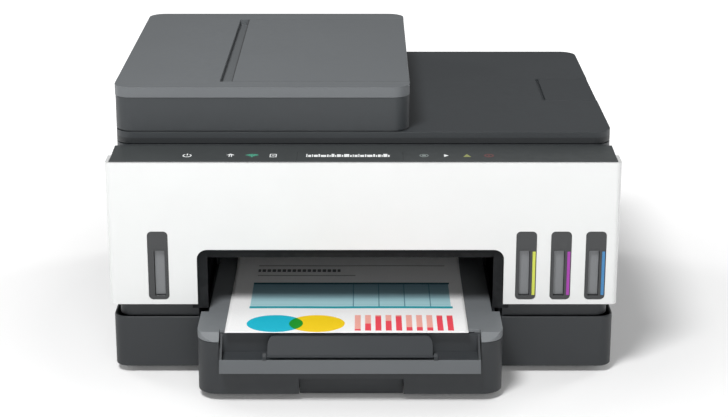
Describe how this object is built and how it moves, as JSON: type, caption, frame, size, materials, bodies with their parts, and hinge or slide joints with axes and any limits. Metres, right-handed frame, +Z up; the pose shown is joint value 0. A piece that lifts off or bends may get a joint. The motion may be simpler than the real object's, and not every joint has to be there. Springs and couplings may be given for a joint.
{
  "type": "inkjet printer",
  "caption": "Desktop inkjet printer with refillable ink tanks behind front windows, a flatbed scanner, a document feeder and a front paper tray.",
  "frame": {"origin": "middle of the bounding box on the surface the printer stands on", "axes": "+X to the right as seen from the front, +Y to the back, +Z up"},
  "size_m": [0.4494, 0.4406, 0.253],
  "materials": {
    "shell_white": "smooth satin moulding",
    "shell_dark": "fine matt grain",
    "inner_black": "plain matt",
    "tray_dark": "fine matt grain",
    "deck_grey": "fine matt grain",
    "feeder_grey": "fine matt grain",
    "lid_dark": "fine matt grain",
    "panel_black": "smooth matt film",
    "window_trim": "smooth",
    "tank_smoke": "smoked translucent",
    "cap_black_tint": "plain",
    "cap_yellow_tint": "plain",
    "cap_magenta_tint": "plain",
    "cap_cyan_tint": "plain",
    "plated_steel": "galvanised sheet",
    "ground_rod": "ground and polished",
    "rubber_black": "plain",
    "gear_white": "plain acetal",
    "brass_gear": "machined",
    "board_green": "solder mask",
    "supply_case": "plain",
    "port_metal": "pressed sheet",
    "screw_steel": "black zinc",
    "flat_glass": "clear float glass",
    "pad_white": "plain white",
    "sheet_paper": "printed on one side"
  },
  "bodies": {
    "chassis": {"base_tub": "shell_dark", "mid_deck": "inner_black", "front_fascia": "shell_white", "left_side_cover": "shell_dark", "right_side_cover": "shell_dark", "rear_cover": "shell_dark", "output_bezel": "inner_black", "window_frames": "window_trim", "ink_tank_black": "tank_smoke", "ink_tank_colours": "tank_smoke", "mech_frame": "plated_steel", "carriage_rod": "ground_rod", "carriage_belt": "rubber_black", "drive_motors": "plated_steel", "platen": "inner_black", "service_station": "inner_black", "main_board": "board_green", "power_supply": "supply_case", "data_ports": "port_metal", "rubber_feet": "rubber_black", "case_screws": "screw_steel"},
    "paper_tray": {"input_tray": "tray_dark"},
    "guide_left": {"width_guide_left": "deck_grey"},
    "guide_right": {"width_guide_right": "deck_grey"},
    "guide_length": {"length_guide": "deck_grey"},
    "deck": {"output_deck": "deck_grey"},
    "extender": {"output_extender": "deck_grey"},
    "paper_stop": {"output_stop": "deck_grey"},
    "sheet": {"printed_sheet": "sheet_paper"},
    "back_door": {"rear_door": "shell_dark"},
    "power_key": {"power_button": "deck_grey"},
    "feed_shaft": {"feed_roller": "rubber_black"},
    "eject_shaft": {"eject_roller": "rubber_black"},
    "idler": {"idler_gear": "gear_white"},
    "pinion": {"feed_pinion": "brass_gear"},
    "pick_lever": {"pick_arm": "inner_black"},
    "pick_tyre": {"pickup_roller": "rubber_black"},
    "carriage": {"print_carriage": "inner_black", "printheads": "window_trim"},
    "pulley_left": {"belt_pulley_drive": "gear_white"},
    "pulley_right": {"belt_pulley_idler": "gear_white"},
    "black_cap": {"cap_black": "cap_black_tint"},
    "yellow_cap": {"cap_yellow": "cap_yellow_tint"},
    "magenta_cap": {"cap_magenta": "cap_magenta_tint"},
    "cyan_cap": {"cap_cyan": "cap_cyan_tint"},
    "scanner": {"scanner_tub": "inner_black", "scanner_frame": "lid_dark", "control_panel": "panel_black", "scanner_glass": "flat_glass"},
    "scan_head": {"scan_bar": "inner_black"},
    "lid": {"scanner_lid": "lid_dark", "lid_pad": "pad_white", "adf_base": "lid_dark"},
    "lid_stop": {"document_stop": "lid_dark"},
    "feeder_cover": {"adf_cover": "feeder_grey"},
    "feeder_flap": {"adf_flap": "feeder_grey"},
    "feeder_guide_front": {"adf_guide_front": "deck_grey"},
    "feeder_guide_rear": {"adf_guide_rear": "deck_grey"},
    "feeder_pick": {"adf_pick_roller": "rubber_black"},
    "feeder_feed": {"adf_feed_roller": "rubber_black"}
  },
  "joints": [
    {"name": "tray_slide", "type": "slide", "parent": "chassis", "child": "paper_tray", "axis": [0, -1, 0], "range_m": [0, 0.2]},
    {"name": "guide_left_slide", "type": "slide", "parent": "paper_tray", "child": "guide_left", "axis": [1, 0, 0], "range_m": [0, 0.06]},
    {"name": "guide_right_slide", "type": "slide", "parent": "paper_tray", "child": "guide_right", "axis": [-1, 0, 0], "range_m": [0, 0.06]},
    {"name": "guide_length_slide", "type": "slide", "parent": "paper_tray", "child": "guide_length", "axis": [0, 1, 0], "range_m": [0, 0.09]},
    {"name": "deck_hinge", "type": "hinge", "parent": "paper_tray", "child": "deck", "pos_m": [-0.0115, -0.0023, 0.0575], "axis": [-1, 0, 0], "range_deg": [0, 12]},
    {"name": "extender_slide", "type": "slide", "parent": "deck", "child": "extender", "axis": [0, -1, 0], "range_m": [0, 0.1]},
    {"name": "paper_stop_hinge", "type": "hinge", "parent": "extender", "child": "paper_stop", "pos_m": [-0.0115, -0.2149, 0.0439], "axis": [1, 0, 0], "range_deg": [0, 60]},
    {"name": "sheet_lift", "type": "slide", "parent": "deck", "child": "sheet", "axis": [0, 0, 1], "range_m": [0, 0.012]},
    {"name": "back_door_hinge", "type": "hinge", "parent": "chassis", "child": "back_door", "pos_m": [-0.01, 0.2108, 0.0763], "axis": [-1, 0, 0], "range_deg": [0, 70]},
    {"name": "power_key_press", "type": "slide", "parent": "chassis", "child": "power_key", "axis": [0, -1, 0], "range_m": [0, 0.0012], "stiffness_N_per_m": 300},
    {"name": "feed_spin", "type": "hinge", "parent": "chassis", "child": "feed_shaft", "pos_m": [0, 0.0697, 0.072], "axis": [1, 0, 0], "continuous": true},
    {"name": "eject_spin", "type": "hinge", "parent": "chassis", "child": "eject_shaft", "pos_m": [0, 0.0257, 0.066], "axis": [1, 0, 0], "continuous": true},
    {"name": "idler_spin", "type": "hinge", "parent": "chassis", "child": "idler", "pos_m": [-0.169, 0.0453, 0.0862], "axis": [1, 0, 0], "continuous": true},
    {"name": "pinion_spin", "type": "hinge", "parent": "chassis", "child": "pinion", "pos_m": [-0.169, 0.0854, 0.0877], "axis": [1, 0, 0], "continuous": true},
    {"name": "pick_lever_hinge", "type": "hinge", "parent": "chassis", "child": "pick_lever", "pos_m": [-0.0115, 0.0917, 0.061], "axis": [1, 0, 0], "range_deg": [0, 28]},
    {"name": "pick_tyre_spin", "type": "hinge", "parent": "pick_lever", "child": "pick_tyre", "pos_m": [-0.0115, 0.0477, 0.047], "axis": [1, 0, 0], "continuous": true},
    {"name": "carriage_slide", "type": "slide", "parent": "chassis", "child": "carriage", "axis": [1, 0, 0], "range_m": [-0.25, 0]},
    {"name": "pulley_left_spin", "type": "hinge", "parent": "chassis", "child": "pulley_left", "pos_m": [-0.15, 0.0967, 0.13], "axis": [0, 1, 0], "continuous": true},
    {"name": "pulley_right_spin", "type": "hinge", "parent": "chassis", "child": "pulley_right", "pos_m": [0.195, 0.0967, 0.13], "axis": [0, 1, 0], "continuous": true},
    {"name": "black_cap_hinge", "type": "hinge", "parent": "chassis", "child": "black_cap", "pos_m": [-0.181, -0.0883, 0.134], "axis": [-1, 0, 0], "range_deg": [0, 95]},
    {"name": "yellow_cap_hinge", "type": "hinge", "parent": "chassis", "child": "yellow_cap", "pos_m": [0.1434, -0.0883, 0.134], "axis": [-1, 0, 0], "range_deg": [0, 95]},
    {"name": "magenta_cap_hinge", "type": "hinge", "parent": "chassis", "child": "magenta_cap", "pos_m": [0.174, -0.0883, 0.134], "axis": [-1, 0, 0], "range_deg": [0, 95]},
    {"name": "cyan_cap_hinge", "type": "hinge", "parent": "chassis", "child": "cyan_cap", "pos_m": [0.2046, -0.0883, 0.134], "axis": [-1, 0, 0], "range_deg": [0, 95]},
    {"name": "scanner_hinge", "type": "hinge", "parent": "chassis", "child": "scanner", "pos_m": [0, 0.2037, 0.172], "axis": [-1, 0, 0], "range_deg": [0, 24]},
    {"name": "scan_head_slide", "type": "slide", "parent": "scanner", "child": "scan_head", "axis": [1, 0, 0], "range_m": [0, 0.37]},
    {"name": "lid_hinge", "type": "hinge", "parent": "scanner", "child": "lid", "pos_m": [0, 0.2172, 0.203], "axis": [-1, 0, 0], "range_deg": [0, 80]},
    {"name": "lid_stop_hinge", "type": "hinge", "parent": "lid", "child": "lid_stop", "pos_m": [0.2198, 0.0538, 0.2108], "axis": [0, 1, 0], "range_deg": [0, 80]},
    {"name": "feeder_cover_hinge", "type": "hinge", "parent": "lid", "child": "feeder_cover", "pos_m": [-0.2229, 0.0561, 0.24335], "axis": [0, -1, 0], "range_deg": [0, 70]},
    {"name": "feeder_flap_hinge", "type": "hinge", "parent": "feeder_cover", "child": "feeder_flap", "pos_m": [0.0401, 0.0518, 0.2518], "axis": [0, 1, 0], "range_deg": [0, 150]},
    {"name": "feeder_guide_front_slide", "type": "slide", "parent": "lid", "child": "feeder_guide_front", "axis": [0, 1, 0], "range_m": [0, 0.06]},
    {"name": "feeder_guide_rear_slide", "type": "slide", "parent": "lid", "child": "feeder_guide_rear", "axis": [0, -1, 0], "range_m": [0, 0.06]},
    {"name": "feeder_feed_spin", "type": "hinge", "parent": "lid", "child": "feeder_feed", "pos_m": [-0.15, 0.0477, 0.2265], "axis": [0, 1, 0], "continuous": true},
    {"name": "feeder_pick_spin", "type": "hinge", "parent": "lid", "child": "feeder_pick", "pos_m": [-0.095, 0.0477, 0.2392], "axis": [0, 1, 0], "continuous": true}
  ],
  "couplings": [
    {"joint": "guide_right_slide", "follows": "guide_left_slide", "ratio": 1},
    {"joint": "eject_spin", "follows": "feed_spin", "ratio": 1},
    {"joint": "idler_spin", "follows": "feed_spin", "ratio": -1.3115},
    {"joint": "pinion_spin", "follows": "feed_spin", "ratio": -2.5806},
    {"joint": "pulley_left_spin", "follows": "carriage_slide", "rad_per_m": -166.67},
    {"joint": "pulley_right_spin", "follows": "carriage_slide", "rad_per_m": -166.67},
    {"joint": "feeder_guide_rear_slide", "follows": "feeder_guide_front_slide", "ratio": 1},
    {"joint": "feeder_pick_spin", "follows": "feeder_feed_spin", "ratio": 1.4}
  ]
}
